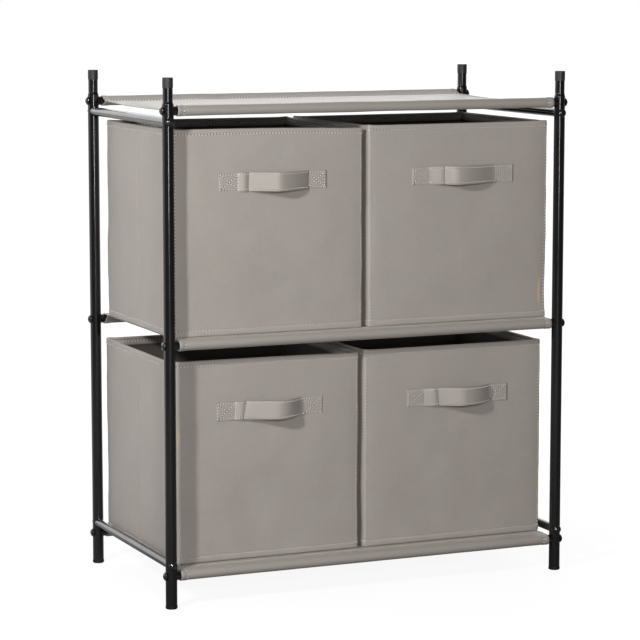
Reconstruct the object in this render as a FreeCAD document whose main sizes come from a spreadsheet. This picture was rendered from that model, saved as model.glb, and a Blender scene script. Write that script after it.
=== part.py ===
"""Four-bin fabric drawer dresser on a bolted steel tube frame.

Frame: millimetres, +Z up, front towards -Y, origin on the floor under the middle of the frame.
Four swaged tube uprights are tied by six cross rods and four side rails.  Every rod end is one
corner joint: socket screw, drilled upright, saddle washer, threaded insert, tube.
Three cloth shelves hang on the rods by sewn sleeves: the two that carry bins lie level with the
tops of their rods, and the top one is sewn level with their axes and sags a little.  Each bin is
a sewn cover and lining with boards between them, a loose base board and a bowed pull strap.
"""
import FreeCAD, Part
import math
import os
import Sketcher

SIZES = {
    # frame
    "post_spacing_x": 600.0,
    "post_spacing_y": 312.0,
    "overall_height": 731.0,
    "post_diameter": 16.0,
    "post_wall": 1.2,
    "neck_diameter": 13.9,
    "neck_length": 31.0,
    "swage_length": 3.5,
    "cap_diameter": 14.8,
    "cap_length": 14.0,
    "cap_crown": 1.6,
    "cap_edge": 1.0,
    "foot_diameter": 16.8,
    "foot_thickness": 4.0,
    "foot_edge": 1.6,
    "foot_stem_length": 18.0,
    "foot_lead": 1.2,
    # cross rods and side rails
    "top_level": 686.0,
    "shelf_pitch": 320.0,
    "rail_offset": 15.0,
    "rod_diameter": 12.7,
    "rod_wall": 1.0,
    # corner joints
    "washer_diameter": 13.0,
    "washer_thickness": 3.0,
    "screw_diameter": 6.0,
    "screw_length": 30.0,
    "drill_diameter": 6.6,
    "head_diameter": 12.0,
    "head_height": 3.3,
    "head_rim": 0.8,
    "socket_flats": 4.0,
    "socket_depth": 2.0,
    "insert_length": 14.0,
    # cloth shelves
    "cloth_thickness": 1.0,
    "sleeve_ease": 0.1,
    "pocket_length": 16.0,
    "sleeve_end_gap": 1.5,
    "top_sag": 2.5,
    # bins
    "bin_width": 287.0,
    "bin_depth": 274.0,
    "bin_height": 286.0,
    "bin_centre": 146.5,
    "upper_bin_front": 142.0,
    "lower_bin_front": 129.0,
    "bin_clearance": 0.3,
    "bin_corner": 7.0,
    "bin_bottom_edge": 2.0,
    "cover_thickness": 1.2,
    "board_thickness": 2.4,
    "lining_thickness": 1.0,
    "hem_height": 10.0,
    "base_board_thickness": 2.5,
    "base_board_ease": 1.0,
    "fold_gap": 3.0,
    # pull straps
    "strap_height": 212.0,
    "strap_width": 26.0,
    "strap_thickness": 2.0,
    "strap_tab": 28.0,
    "strap_bow_span": 104.0,
    "strap_rise": 20.0,
    "strap_root_radius": 20.0,
    "strap_offset": 5.0,
}

DERIVED = {
    "post_radius": "post_diameter / 2",
    "middle_level": "top_level - shelf_pitch",
    "bottom_level": "middle_level - shelf_pitch",
    "top_rail_level": "top_level - rail_offset",
    "bottom_rail_level": "bottom_level + rail_offset",
    "neck_top": "overall_height - cap_crown",
    "shoulder_top": "neck_top - neck_length",
    "shoulder_bottom": "shoulder_top - swage_length",
    "bore_radius": "post_diameter / 2 - post_wall",
    "neck_bore_radius": "neck_diameter / 2 - post_wall",
    "rod_length": "post_spacing_x - post_diameter - 2 * washer_thickness",
    "rail_length": "post_spacing_y - post_diameter - 2 * washer_thickness",
    "rod_bore": "rod_diameter - 2 * rod_wall",
    "rod_end": "post_diameter / 2 + washer_thickness",
    "sleeve_inner": "rod_diameter / 2 + sleeve_ease",
    "sleeve_outer": "sleeve_inner + cloth_thickness",
    "sleeve_length": "rod_length - 2 * sleeve_end_gap",
    "bin_floor": "sleeve_outer + bin_clearance",
    "cavity_width": "bin_width - 2 * cover_thickness",
    "cavity_depth": "bin_depth - 2 * cover_thickness",
    "lining_width": "cavity_width - 2 * board_thickness",
    "lining_depth": "cavity_depth - 2 * board_thickness",
    "lining_floor": "cover_thickness + lining_thickness",
    "inside_width": "lining_width - 2 * lining_thickness",
    "inside_depth": "lining_depth - 2 * lining_thickness",
    "lining_corner": "bin_corner - cover_thickness - board_thickness",
    "board_height": "bin_height - cover_thickness - hem_height",
    "seam_sine": "sin(2 * atan(sleeve_inner / pocket_length))",
    "seam_cosine": "cos(2 * atan(sleeve_inner / pocket_length))",
    "loop_cosine": "sleeve_inner / pocket_length",
    "loop_sine": "sin(acos(loop_cosine))",
    "loop_drop": "sleeve_outer * loop_sine - cloth_thickness / 2",
    "sheet_start": "sleeve_outer * loop_cosine + loop_drop * loop_sine / loop_cosine",
    "sheet_half": "post_spacing_y / 2 - sheet_start",
    "sag_radius": "(sheet_half ^ 2 + top_sag ^ 2) / (2 * top_sag)",
    "bow_sine": "sin(2 * atan(2 * strap_rise / strap_bow_span))",
    "bow_cosine": "cos(2 * atan(2 * strap_rise / strap_bow_span))",
    "bow_radius": "strap_bow_span / 2 / bow_sine - strap_root_radius",
}

os.makedirs("parts", exist_ok=True)
doc = FreeCAD.newDocument("drawer_dresser")
sheet = doc.addObject("Spreadsheet::Sheet", "Sizes")


def fill_sheet():
    """Driving sizes are plain numbers in column B, worked-out sizes are formulas below them."""
    row = 1
    for alias, value in SIZES.items():
        sheet.set("A%d" % row, alias)
        sheet.set("B%d" % row, str(value))
        sheet.setAlias("B%d" % row, alias)
        row += 1
    for alias, formula in DERIVED.items():
        sheet.set("A%d" % row, alias)
        sheet.set("B%d" % row, "=" + formula)
        sheet.setAlias("B%d" % row, alias)
        row += 1
    doc.recompute()


def size(expression):
    """Value of an expression on the sheet's aliases."""
    value = sheet.evalExpression(expression)
    return float(getattr(value, "Value", value))


def on_sheet(expression):
    """The same expression written for use from another object."""
    words = []
    word = ""
    for letter in expression + " ":
        if letter.isalnum() or letter == "_":
            word += letter
            continue
        words.append("Sizes." + word if word in SIZES or word in DERIVED else word)
        words.append(letter)
        word = ""
    return "".join(words).strip()


def bind(item, **settings):
    """Ties each named property to an expression on the sheet."""
    for name, expression in settings.items():
        item.setExpression(name.replace("__", "."), on_sheet(expression))


def new_body(label):
    body = doc.addObject("PartDesign::Body", label)
    body.Label = label
    return body


def place(body, x="0", y="0", z="0", quarter_turn=False):
    """Puts a body at a place worked out on the sheet, turned from X to Y where asked."""
    rotation = FreeCAD.Rotation(FreeCAD.Vector(0, 0, 1), 90 if quarter_turn else 0)
    body.Placement = FreeCAD.Placement(FreeCAD.Vector(size(x), size(y), size(z)), rotation)
    bind(body, Placement__Base__x=x, Placement__Base__y=y, Placement__Base__z=z)


def new_sketch(body, plane, lift="0"):
    """Empty sketch on one of the body's own origin planes, moved along the plane's normal."""
    sketch = body.newObject("Sketcher::SketchObject", body.Name + "_sketch")
    support = [item for item in body.Origin.OriginFeatures if item.Role == plane][0]
    sketch.AttachmentSupport = [(support, "")]
    sketch.MapMode = "FlatFace"
    if lift != "0":
        bind(sketch, AttachmentOffset__Base__z=lift)
    return sketch


def fix_point(sketch, geo, end, x, y):
    """Ties a sketch point to the origin by two expressions; a plain 0 puts it on the axis."""
    for axis_line, kind, expression in ((-2, "DistanceX", x), (-1, "DistanceY", y)):
        if expression == "0":
            sketch.addConstraint(Sketcher.Constraint("PointOnObject", geo, end, axis_line))
            continue
        rule = Sketcher.Constraint(kind, -1, 1, geo, end, size(expression))
        index = sketch.addConstraint(rule)
        sketch.setExpression("Constraints[%d]" % index, on_sheet(expression))


def draw_circle(sketch, x, y, diameter):
    centre = FreeCAD.Vector(size(x), size(y), 0)
    normal = FreeCAD.Vector(0, 0, 1)
    geo = sketch.addGeometry(Part.Circle(centre, normal, size(diameter) / 2), False)
    rule = Sketcher.Constraint("Diameter", geo, size(diameter))
    index = sketch.addConstraint(rule)
    sketch.setExpression("Constraints[%d]" % index, on_sheet(diameter))
    centre_end = 3
    if x == "0" and y == "0":
        sketch.addConstraint(Sketcher.Constraint("Coincident", geo, centre_end, -1, 1))
    else:
        fix_point(sketch, geo, centre_end, x, y)


def arc_between(start, end, radius, side):
    """Arc of less than half a turn; side 1 has its centre to the left of the way it runs."""
    middle = (start + end) * 0.5
    chord = end - start
    reach = math.sqrt(max(radius ** 2 - (chord.Length / 2) ** 2, 0))
    left = FreeCAD.Vector(-chord.y, chord.x, 0).normalize()
    centre = middle + left * (side * reach)
    crown = centre - left * (side * radius)
    return Part.Arc(start, crown, end)


def draw_outline(sketch, corners, arcs=None, closed=True):
    """Outline through corners given as (x, y) expressions; arcs maps a side's number to
    (radius expression, side).  Every corner is tied to the origin, every arc to its radius."""
    arcs = arcs or {}
    points = [FreeCAD.Vector(size(x), size(y), 0) for x, y in corners]
    count = len(points) if closed else len(points) - 1
    ends = []
    for number in range(count):
        start = points[number]
        end = points[(number + 1) % len(points)]
        if number in arcs:
            radius, side = arcs[number]
            geo = sketch.addGeometry(arc_between(start, end, size(radius), side), False)
            ends.append((geo, 1, 2) if side > 0 else (geo, 2, 1))
        else:
            geo = sketch.addGeometry(Part.LineSegment(start, end), False)
            ends.append((geo, 1, 2))
    joints = count if closed else count - 1
    for number in range(joints):
        geo, _, finish = ends[number]
        following, begin, _ = ends[(number + 1) % count]
        sketch.addConstraint(Sketcher.Constraint("Coincident", geo, finish, following, begin))
    for number in range(count):
        geo, begin, finish = ends[number]
        fix_point(sketch, geo, begin, *corners[number])
        if not closed and number == count - 1:
            fix_point(sketch, geo, finish, *corners[-1])
        if number in arcs:
            radius = arcs[number][0]
            index = sketch.addConstraint(Sketcher.Constraint("Radius", geo, size(radius)))
            sketch.setExpression("Constraints[%d]" % index, on_sheet(radius))


def draw_rectangle(sketch, low_x, low_y, high_x, high_y):
    draw_outline(sketch, [(low_x, low_y), (high_x, low_y), (high_x, high_y), (low_x, high_y)])


def pad(body, sketch, length, both_ways=False):
    feature = body.newObject("PartDesign::Pad", body.Name + "_pad")
    feature.Profile = sketch
    feature.Midplane = both_ways
    bind(feature, Length=length)
    return feature


def cut_through(body, sketch):
    """Pocket through everything on both sides of the sketch."""
    feature = body.newObject("PartDesign::Pocket", body.Name + "_drill")
    feature.Profile = sketch
    feature.Type = "ThroughAll"
    feature.Midplane = True
    return feature


def cut_down(body, sketch, depth, up=False):
    """Pocket of a set depth below its sketch, or above it."""
    feature = body.newObject("PartDesign::Pocket", body.Name + "_pocket")
    feature.Profile = sketch
    feature.Reversed = up
    bind(feature, Length=depth)
    return feature


def turn(body, sketch, axis_name="V_Axis"):
    """Full revolution of a half profile about one of the sketch's own axes."""
    feature = body.newObject("PartDesign::Revolution", body.Name + "_turned")
    feature.Profile = sketch
    feature.ReferenceAxis = (sketch, [axis_name])
    feature.Angle = 360
    return feature


def round_edges(body, base, radius, wanted):
    """Fillet on the edges of a feature that the test function picks."""
    doc.recompute()
    names = ["Edge%d" % (n + 1) for n, edge in enumerate(base.Shape.Edges) if wanted(edge)]
    feature = body.newObject("PartDesign::Fillet", body.Name + "_round")
    feature.Base = (base, names)
    bind(feature, Radius=radius)
    return feature


def upright(label, x, y):
    """One-piece tube with its top end swaged down to a stacking neck, cross-drilled for the
    rods along X at three levels and for the side rails along Y at two."""
    body = new_body(label)
    profile = new_sketch(body, "XZ_Plane")
    draw_outline(profile, [
        ("bore_radius", "foot_thickness"),
        ("post_radius", "foot_thickness"),
        ("post_radius", "shoulder_bottom"),
        ("neck_diameter / 2", "shoulder_top"),
        ("neck_diameter / 2", "neck_top"),
        ("neck_bore_radius", "neck_top"),
        ("neck_bore_radius", "shoulder_top"),
        ("bore_radius", "shoulder_bottom"),
    ])
    tube = turn(body, profile)
    doc.recompute()
    shoulder = [size("shoulder_bottom"), size("shoulder_top")]
    outer = [size("post_radius"), size("neck_diameter / 2")]

    def on_shoulder(edge):
        if not hasattr(edge.Curve, "Radius"):
            return False
        level = edge.Curve.Center.z
        return any(abs(level - z) < 1e-3 and abs(edge.Curve.Radius - r) < 1e-3
                   for z, r in zip(shoulder, outer))

    round_edges(body, tube, "post_wall", on_shoulder)
    rods = new_sketch(body, "YZ_Plane")
    for level in ("top_level", "middle_level", "bottom_level"):
        draw_circle(rods, "0", level, "drill_diameter")
    cut_through(body, rods)
    rails = new_sketch(body, "XZ_Plane")
    for level in ("top_rail_level", "bottom_rail_level"):
        draw_circle(rails, "0", level, "drill_diameter")
    cut_through(body, rails)
    place(body, x, y)
    return body


def upright_cap(label, x, y):
    """Thin push-on cap over the swaged neck, with a rounded crown."""
    body = new_body(label)
    profile = new_sketch(body, "XZ_Plane")
    draw_outline(profile, [
        ("neck_diameter / 2", "neck_top - cap_length + cap_crown"),
        ("cap_diameter / 2", "neck_top - cap_length + cap_crown"),
        ("cap_diameter / 2", "overall_height - cap_edge"),
        ("cap_diameter / 2 - cap_edge", "overall_height"),
        ("0", "overall_height"),
        ("0", "neck_top"),
        ("neck_diameter / 2", "neck_top"),
    ], {2: ("cap_edge", 1)})
    turn(body, profile)
    place(body, x, y)
    return body


def foot_plug(label, x, y):
    """Moulded end plug: a rounded foot under the tube and a hollow stem pressed up inside it."""
    body = new_body(label)
    profile = new_sketch(body, "XZ_Plane")
    stem_top = "foot_thickness + foot_stem_length"
    draw_outline(profile, [
        ("0", "0"),
        ("foot_diameter / 2 - foot_edge", "0"),
        ("foot_diameter / 2", "foot_edge"),
        ("foot_diameter / 2", "foot_thickness"),
        ("bore_radius", "foot_thickness"),
        ("bore_radius", stem_top + " - foot_lead"),
        ("bore_radius - foot_lead / 2", stem_top),
        ("bore_radius - post_wall", stem_top),
        ("bore_radius - post_wall", "foot_thickness"),
        ("0", "foot_thickness"),
    ], {1: ("foot_edge", 1)})
    turn(body, profile)
    place(body, x, y)
    return body


def tube_between(label, length, x, y, z, quarter_turn=False):
    """Straight tube centred on its place, along X or a quarter turn from it."""
    body = new_body(label)
    section = new_sketch(body, "YZ_Plane")
    draw_circle(section, "0", "0", "rod_diameter")
    draw_circle(section, "0", "0", "rod_bore")
    pad(body, section, length, both_ways=True)
    place(body, x, y, z, quarter_turn)
    return body


def saddle_washer():
    """Disc between upright and rod end, hollowed on one side to sit on the upright's curve.
    Its axis is X and the upright's axis is Z, both through the origin."""
    body = new_body("saddle_washer_pattern")
    disc = new_sketch(body, "YZ_Plane")
    draw_circle(disc, "0", "0", "washer_diameter")
    draw_circle(disc, "0", "0", "drill_diameter")
    pad(body, disc, "rod_end")
    saddle = new_sketch(body, "XY_Plane")
    draw_circle(saddle, "0", "0", "post_diameter")
    cut_through(body, saddle)
    return body


def socket_screw():
    """Button-head screw along X, its head seated on the far side of the upright."""
    body = new_body("socket_screw_pattern")
    profile = new_sketch(body, "XY_Plane")
    seat = "0 - post_radius"
    top = "0 - post_radius - head_height"
    draw_outline(profile, [
        (top, "0"),
        (top, "head_diameter / 2 - head_height"),
        (seat + " - head_rim", "head_diameter / 2"),
        (seat, "head_diameter / 2"),
        (seat, "screw_diameter / 2"),
        (seat + " + screw_length - head_rim", "screw_diameter / 2"),
        (seat + " + screw_length", "screw_diameter / 2 - head_rim"),
        (seat + " + screw_length", "0"),
    ], {1: ("head_diameter / 2 - head_height / 2", -1)})
    turn(body, profile, "H_Axis")
    socket = new_sketch(body, "YZ_Plane", top)
    across_corners = "socket_flats / sqrt(3)"
    corners = []
    for number in range(6):
        angle = 60 * number
        corners.append(("%s * cos(%d deg)" % (across_corners, angle),
                        "%s * sin(%d deg)" % (across_corners, angle)))
    corners[0] = (across_corners, "0")
    corners[3] = ("0 - " + across_corners, "0")
    draw_outline(socket, corners)
    cut_down(body, socket, "socket_depth", up=True)
    return body


def threaded_insert():
    """Plug pressed into a rod end, bored for the screw."""
    body = new_body("threaded_insert_pattern")
    section = new_sketch(body, "YZ_Plane", "rod_end")
    draw_circle(section, "0", "0", "rod_bore")
    draw_circle(section, "0", "0", "screw_diameter")
    pad(body, section, "insert_length")
    return body


def corner_joints():
    """Places of the twenty joints: the upright's axis at the screw's level, with local +X
    pointing along the rod or rail, into the frame."""
    places = []
    for side_x in (-1, 1):
        for side_y in (-1, 1):
            x = side_x * size("post_spacing_x") / 2
            y = side_y * size("post_spacing_y") / 2
            for level in ("top_level", "middle_level", "bottom_level"):
                places.append((x, y, size(level), 0 if side_x < 0 else 180))
            for level in ("top_rail_level", "bottom_rail_level"):
                places.append((x, y, size(level), 90 if side_y < 0 else -90))
    return places


def group(label, pattern):
    """One node with a separate copy of the pattern piece at every corner joint."""
    doc.recompute()
    copies = []
    for x, y, z, angle in corner_joints():
        turned = FreeCAD.Rotation(FreeCAD.Vector(0, 0, 1), angle)
        copies.append(pattern.Shape.transformed(
            FreeCAD.Placement(FreeCAD.Vector(x, y, z), turned).toMatrix()))
    feature = doc.addObject("Part::Feature", label)
    feature.Label = label
    feature.Shape = Part.makeCompound(copies)
    feature.Placement = FreeCAD.Placement()
    return feature


def belt_corners(sign, radius, reach):
    """Corners from the top of one rod, round its outer side, to the seam under the sheet."""
    centre = "post_spacing_y / 2"
    leaving = "%s - %s * seam_sine" % (centre, radius)
    return [
        ("%s(%s)" % (sign, centre), radius),
        ("%s(%s + %s)" % (sign, centre, radius), "0"),
        ("%s(%s)" % (sign, leaving), "0 - %s * seam_cosine" % radius),
        ("%s(%s - (%s))" % (sign, centre, reach), "sleeve_inner"),
    ]


def cloth_shelf(label, level):
    """Sheet of cloth drawn taut over a front and a rear rod.  Each end wraps its rod and is
    sewn back to the underside, so the section is a belt with a teardrop sleeve at each end."""
    body = new_body(label)
    profile = new_sketch(body, "YZ_Plane")
    flap_end = "pocket_length + cloth_thickness / seam_sine"
    rear = belt_corners("", "sleeve_outer", flap_end)
    front = belt_corners("0 - ", "sleeve_outer", flap_end)
    draw_outline(profile, rear + front[::-1], {
        0: ("sleeve_outer", -1),
        1: ("sleeve_outer", -1),
        5: ("sleeve_outer", -1),
        6: ("sleeve_outer", -1),
    })
    for sign, side in (("", -1), ("0 - ", 1)):
        loop = belt_corners(sign, "sleeve_inner", "pocket_length")
        draw_outline(profile, loop, {0: ("sleeve_inner", side), 1: ("sleeve_inner", side)})
    pad(body, profile, "sleeve_length", both_ways=True)
    place(body, z=level)
    return body


def loop_corners(sign, radius):
    """Corners round the outer side of one rod, from its top to its underside."""
    centre = "post_spacing_y / 2"
    inner = "%s(%s - %s * loop_cosine)" % (sign, centre, radius)
    return [
        (inner, "%s * loop_sine" % radius),
        ("%s(%s + %s)" % (sign, centre, radius), "0"),
        (inner, "0 - %s * loop_sine" % radius),
    ]


def hung_shelf(label, level):
    """Sheet of cloth hung between a front and a rear rod.  Each end is sewn to itself level with
    its rod's axis, which makes an even teardrop sleeve, and the sheet sags between the seams."""
    body = new_body(label)
    profile = new_sketch(body, "YZ_Plane")
    top = "cloth_thickness / 2"
    under = "0 - " + top
    rear = loop_corners("", "sleeve_outer")
    front = loop_corners("0 - ", "sleeve_outer")
    underside = [("sheet_half", under), ("0 - sheet_half", under)]
    upper_side = [("0 - sheet_half", top), ("sheet_half", top)]
    draw_outline(profile, rear + underside + front[::-1] + upper_side, {
        0: ("sleeve_outer", -1),
        1: ("sleeve_outer", -1),
        3: ("sag_radius", -1),
        5: ("sleeve_outer", -1),
        6: ("sleeve_outer", -1),
        8: ("sag_radius", 1),
    })
    for sign, side in (("", -1), ("0 - ", 1)):
        seam = ("%s(post_spacing_y / 2 - pocket_length)" % sign, "0")
        loop = loop_corners(sign, "sleeve_inner") + [seam]
        draw_outline(profile, loop, {0: ("sleeve_inner", side), 1: ("sleeve_inner", side)})
    pad(body, profile, "sleeve_length", both_ways=True)
    place(body, z=level)
    return body


def draw_rounded(sketch, width, depth, radius):
    """Rectangle about the origin with rounded corners."""
    x, y = "%s / 2" % width, "%s / 2" % depth
    inner_x, inner_y = "%s - (%s)" % (x, radius), "%s - (%s)" % (y, radius)
    corners = []
    for sign_x, sign_y in (("", "0 - "), ("", ""), ("0 - ", ""), ("0 - ", "0 - ")):
        side = ("%s(%s)" % (sign_x, x), "%s(%s)" % (sign_y, inner_y))
        end = ("%s(%s)" % (sign_x, inner_x), "%s(%s)" % (sign_y, y))
        corners += [end, side] if (sign_x == "") == (sign_y != "") else [side, end]
    draw_outline(sketch, corners, {number: (radius, 1) for number in (0, 2, 4, 6)})


def bin_cover(label, x, y, z):
    """Sewn outer cover of a bin: four walls and a bottom in one skin, open at the top."""
    body = new_body(label)
    outside = new_sketch(body, "XY_Plane")
    draw_rounded(outside, "bin_width", "bin_depth", "bin_corner")
    block = pad(body, outside, "bin_height")

    def at_bottom(edge):
        return edge.BoundBox.ZMax < 1e-6

    round_edges(body, block, "bin_bottom_edge", at_bottom)
    cavity = new_sketch(body, "XY_Plane", "cover_thickness")
    draw_rounded(cavity, "cavity_width", "cavity_depth", "bin_corner - cover_thickness")
    cut_down(body, cavity, "bin_height - cover_thickness", up=True)
    place(body, x, y, z)
    return body


def bin_lining(label, x, y, z):
    """Sewn lining that stands inside the boards.  Above them it is folded into a thick hem,
    which is sewn to the cover and shuts the boards in."""
    body = new_body(label)
    bag = new_sketch(body, "XY_Plane", "cover_thickness")
    draw_rounded(bag, "lining_width", "lining_depth", "lining_corner")
    pad(body, bag, "bin_height - cover_thickness")
    hem = new_sketch(body, "XY_Plane", "bin_height - hem_height")
    draw_rounded(hem, "cavity_width", "cavity_depth", "bin_corner - cover_thickness")
    pad(body, hem, "hem_height")
    inside = new_sketch(body, "XY_Plane", "lining_floor")
    draw_rounded(inside, "inside_width", "inside_depth", "lining_corner - lining_thickness")
    cut_down(body, inside, "bin_height - lining_floor", up=True)
    place(body, x, y, z)
    return body


def board(label, length, width, x, y, z):
    """One stiffening board, standing on the cover's bottom with its low corner at x, y."""
    box = doc.addObject("Part::Box", label)
    bind(box, Length=length, Width=width, Height="board_height",
         Placement__Base__x=x, Placement__Base__y=y, Placement__Base__z=z)
    return box


def wall_boards(label, x, y, z):
    """Boards between cover and lining: one in front, one behind, and two on each side with a
    gap between them, where the side folds inwards to lay the bin flat."""
    foot = "%s + cover_thickness" % z
    wide = "lining_width - 2 * bin_corner"
    half = "(lining_depth - 2 * bin_corner - fold_gap) / 2"
    boards = []
    for name, low_y in (("front", "0 - cavity_depth / 2"),
                        ("rear", "cavity_depth / 2 - board_thickness")):
        boards.append(board("%s_%s" % (label, name), wide, "board_thickness",
                            "%s - (%s) / 2" % (x, wide), "%s + %s" % (y, low_y), foot))
    for side, low_x in (("left", "0 - cavity_width / 2"),
                        ("right", "cavity_width / 2 - board_thickness")):
        for name, low_y in (("fore", "0 - fold_gap / 2 - %s" % half), ("aft", "fold_gap / 2")):
            boards.append(board("%s_%s_%s" % (label, side, name), "board_thickness", half,
                                "%s + %s" % (x, low_x), "%s + %s" % (y, low_y), foot))
    stack = doc.addObject("Part::Compound", label)
    stack.Label = label
    stack.Links = boards
    return stack


def base_board(label, x, y, z):
    """Loose board that lies on the lining and opens the bin out square."""
    body = new_body(label)
    outline = new_sketch(body, "XY_Plane", "lining_floor")
    draw_rounded(outline, "(inside_width - 2 * base_board_ease)",
                 "(inside_depth - 2 * base_board_ease)", "lining_corner - lining_thickness")
    pad(body, outline, "base_board_thickness")
    place(body, x, y, z)
    return body


def pull_strap(label, x, y, z):
    """Webbing pull: a flat tab sewn down at each end and a bow between them for the fingers.
    The bow is three arcs that run on from one another and from the tabs."""
    body = new_body(label)
    reach = "strap_bow_span / 2"
    middle = "0 - strap_thickness / 2"
    root_x = "%s - strap_root_radius * bow_sine" % reach
    root_y = "%s - strap_root_radius * (1 - bow_cosine)" % middle
    section = new_sketch(body, "YZ_Plane", "0 - %s - strap_tab" % reach)
    draw_rectangle(section, "0 - strap_thickness", "0 - strap_width / 2", "0", "strap_width / 2")
    path = new_sketch(body, "XY_Plane")
    draw_outline(path, [
        ("0 - %s - strap_tab" % reach, middle),
        ("0 - " + reach, middle),
        ("0 - (%s)" % root_x, root_y),
        (root_x, root_y),
        (reach, middle),
        (reach + " + strap_tab", middle),
    ], {1: ("strap_root_radius", -1), 2: ("bow_radius", 1), 3: ("strap_root_radius", -1)},
        closed=False)
    doc.recompute()
    sweep = body.newObject("PartDesign::AdditivePipe", label + "_sweep")
    sweep.Profile = section
    sweep.Spine = (path, ["Edge%d" % (n + 1) for n in range(len(path.Shape.Edges))])
    place(body, x, y, z)
    return body


def build_frame():
    pieces = []
    patterns = {
        "saddle_washers": saddle_washer(),
        "socket_screws": socket_screw(),
        "threaded_inserts": threaded_insert(),
    }
    sides = {"left": "0 - post_spacing_x / 2", "right": "post_spacing_x / 2"}
    ends = {"front": "0 - post_spacing_y / 2", "rear": "post_spacing_y / 2"}
    for end, y in ends.items():
        for side, x in sides.items():
            corner = "%s_%s" % (end, side)
            pieces.append(upright("upright_" + corner, x, y))
            pieces.append(upright_cap("upright_cap_" + corner, x, y))
            pieces.append(foot_plug("foot_plug_" + corner, x, y))
        for name in ("top", "middle", "bottom"):
            pieces.append(tube_between("%s_rod_%s" % (name, end), "rod_length", "0", y,
                                       name + "_level"))
    for side, x in sides.items():
        for name in ("top", "bottom"):
            pieces.append(tube_between("%s_side_rail_%s" % (name, side), "rail_length", x, "0",
                                       name + "_rail_level", quarter_turn=True))
    for label, pattern in patterns.items():
        pieces.append(group(label, pattern))
    pieces.append(hung_shelf("top_shelf_cloth", "top_level"))
    for name in ("middle", "bottom"):
        pieces.append(cloth_shelf(name + "_shelf_cloth", name + "_level"))
    return pieces


def build_bin(name, x, front, level):
    """All the pieces of one bin, standing on the cloth at a level with its front at -front."""
    y = "bin_depth / 2 - %s" % front
    z = "%s + bin_floor" % level
    return [
        bin_cover("bin_cover_" + name, x, y, z),
        bin_lining("bin_lining_" + name, x, y, z),
        wall_boards("bin_wall_boards_" + name, x, y, z),
        base_board("bin_base_board_" + name, x, y, z),
        pull_strap("pull_strap_" + name, "%s + strap_offset" % x, "0 - " + front,
                   "%s + strap_height" % z),
    ]


def build_bins():
    pieces = []
    for row, front, level in (("upper", "upper_bin_front", "middle_level"),
                              ("lower", "lower_bin_front", "bottom_level")):
        for side, x in (("left", "0 - bin_centre"), ("right", "bin_centre")):
            pieces += build_bin("%s_%s" % (row, side), x, front, level)
    return pieces


def check(pieces):
    """Stops the build at any failed object or empty, broken or unexpected shape."""
    for item in doc.Objects:
        if "Invalid" in item.State or "Error" in item.State:
            raise RuntimeError("%s is %s" % (item.Name, item.State))
    for piece in pieces:
        shape = piece.Shape
        if shape.isNull() or not shape.isValid() or shape.Volume < 1:
            raise RuntimeError("%s has no sound shape" % piece.Label)


fill_sheet()
parts = build_frame() + build_bins()
doc.recompute()
check(parts)
for part in parts:
    part.Shape.exportStep("parts/%s.step" % part.Label)
    print("%-34s %3d solids %12.1f mm3" % (part.Label, len(part.Shape.Solids), part.Shape.Volume))
print(len(parts), "nodes")
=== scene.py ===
import math

import bpy
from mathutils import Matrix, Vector, noise


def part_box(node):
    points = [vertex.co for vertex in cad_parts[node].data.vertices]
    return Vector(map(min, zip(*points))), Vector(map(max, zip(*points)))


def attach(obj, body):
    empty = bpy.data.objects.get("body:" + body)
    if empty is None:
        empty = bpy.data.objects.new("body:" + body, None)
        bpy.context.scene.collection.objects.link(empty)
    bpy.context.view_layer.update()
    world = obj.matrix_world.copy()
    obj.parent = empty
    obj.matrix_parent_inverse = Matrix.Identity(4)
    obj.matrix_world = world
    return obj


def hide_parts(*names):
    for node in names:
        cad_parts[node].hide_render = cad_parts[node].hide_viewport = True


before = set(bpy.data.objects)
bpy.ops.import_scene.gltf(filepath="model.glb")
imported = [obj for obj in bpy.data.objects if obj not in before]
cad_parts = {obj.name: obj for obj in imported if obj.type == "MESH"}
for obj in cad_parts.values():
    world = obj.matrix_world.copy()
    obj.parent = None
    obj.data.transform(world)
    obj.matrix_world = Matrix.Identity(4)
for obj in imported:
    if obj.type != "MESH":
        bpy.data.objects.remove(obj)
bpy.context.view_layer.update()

# Studio.  A pale floor and a white backdrop behind the dresser, with a dim room in front of it.
# A small hard lamp and a wide diffuser stand at the left, a softbox beside the camera fills the
# fronts, and a low strip under it draws the bright line down each black tube.
FLOOR_REACH = 60.0
FLOOR_LEVEL = -0.001
SHADOW_SHARE = 0.14
ROOM_LIGHT = 0.08
BACKDROP_LIGHT = 0.45
MIRRORED_ROOM = 0.03
MIRRORED_BACKDROP = 2.0
CAMERA_PLACE = (-1.5181, -3.4490, 0.8676)
CAMERA_DOWN = 7.566
CAMERA_TURN = 23.646
LENS = 146.16
SENSOR_WIDTH = 36.0
SIGHT = 200.0

camera_data = bpy.data.cameras.new("camera")
camera_data.lens = LENS
camera_data.sensor_width = SENSOR_WIDTH
camera_data.clip_end = SIGHT
camera = bpy.data.objects.new("camera", camera_data)
camera.location = CAMERA_PLACE
camera.rotation_euler = (math.radians(90 - CAMERA_DOWN), 0.0, math.radians(-CAMERA_TURN))
bpy.context.scene.collection.objects.link(camera)
bpy.context.scene.camera = camera
bpy.context.scene.view_settings.view_transform = "Standard"


def softbox(name, place, target, width, height, watts, in_gloss=True):
    light = bpy.data.lights.new(name, "AREA")
    light.shape = "RECTANGLE"
    light.size = width
    light.size_y = height
    light.energy = watts
    lamp = bpy.data.objects.new(name, light)
    lamp.location = place
    lamp.rotation_euler = (Vector(target) - Vector(place)).to_track_quat("-Z", "Y").to_euler()
    lamp.visible_glossy = in_gloss
    bpy.context.scene.collection.objects.link(lamp)


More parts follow.
